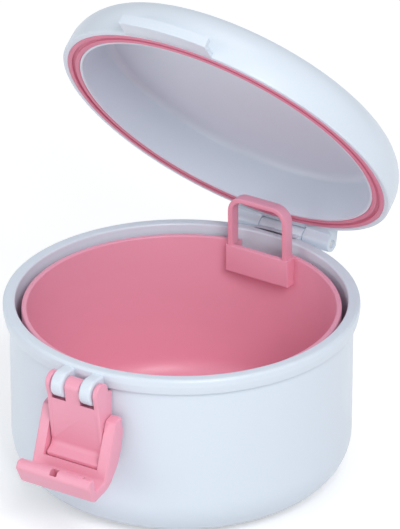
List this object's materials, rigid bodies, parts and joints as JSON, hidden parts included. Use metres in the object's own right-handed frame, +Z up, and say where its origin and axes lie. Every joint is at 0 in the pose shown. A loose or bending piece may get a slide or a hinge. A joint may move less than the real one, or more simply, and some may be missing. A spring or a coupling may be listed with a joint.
{
  "type": "denture_case",
  "caption": "Round white denture soaking case with a hinged dome lid and seal, a pink strainer basket with a loop handle, and a draw latch",
  "frame": {"origin": "centre of the bowl's flat base, on the surface that it stands on", "axes": "+Z up, +Y from the latch towards the hinge, +X to the right seen from the latch"},
  "size_m": [0.1054, 0.1311, 0.1476],
  "materials": {
    "white_plastic": "satin gloss, moulded",
    "pink_plastic": "satin, moulded",
    "pink_rubber": "satin silicone",
    "steel": "polished wire"
  },
  "bodies": {
    "base": {"bowl": "white_plastic"},
    "lid": {"lid": "white_plastic", "lid_seal": "pink_rubber", "hinge_pin": "steel"},
    "lever": {"latch_lever": "pink_plastic", "lever_pin": "steel"},
    "loop_carrier": {"loop_pin": "steel"},
    "loop": {"latch_loop": "pink_plastic"},
    "basket": {"strainer_basket": "pink_plastic"}
  },
  "joints": [
    {"name": "lid_hinge", "type": "hinge", "parent": "base", "child": "lid", "pos_m": [0, 0.0553, 0.0538], "axis": [-1, 0, 0], "range_deg": [-53, 52]},
    {"name": "lever_pivot", "type": "hinge", "parent": "base", "child": "lever", "pos_m": [0, -0.0551, 0.0501], "axis": [-1, 0, 0], "range_deg": [0, 120]},
    {"name": "loop_pin_turn", "type": "hinge", "parent": "lever", "child": "loop_carrier", "pos_m": [0, -0.0525, 0.0397], "axis": [-1, 0, 0], "range_deg": [-120, 0]},
    {"name": "loop_pivot", "type": "hinge", "parent": "loop_carrier", "child": "loop", "pos_m": [0, -0.0525, 0.0397], "axis": [-1, 0, 0], "range_deg": [0, 125.4]},
    {"name": "basket_turn", "type": "hinge", "parent": "base", "child": "basket", "pos_m": [0, 0, 0], "axis": [0, 0, 1], "continuous": true}
  ],
  "couplings": [
    {"joint": "loop_pin_turn", "follows": "lever_pivot", "ratio": -1}
  ]
}
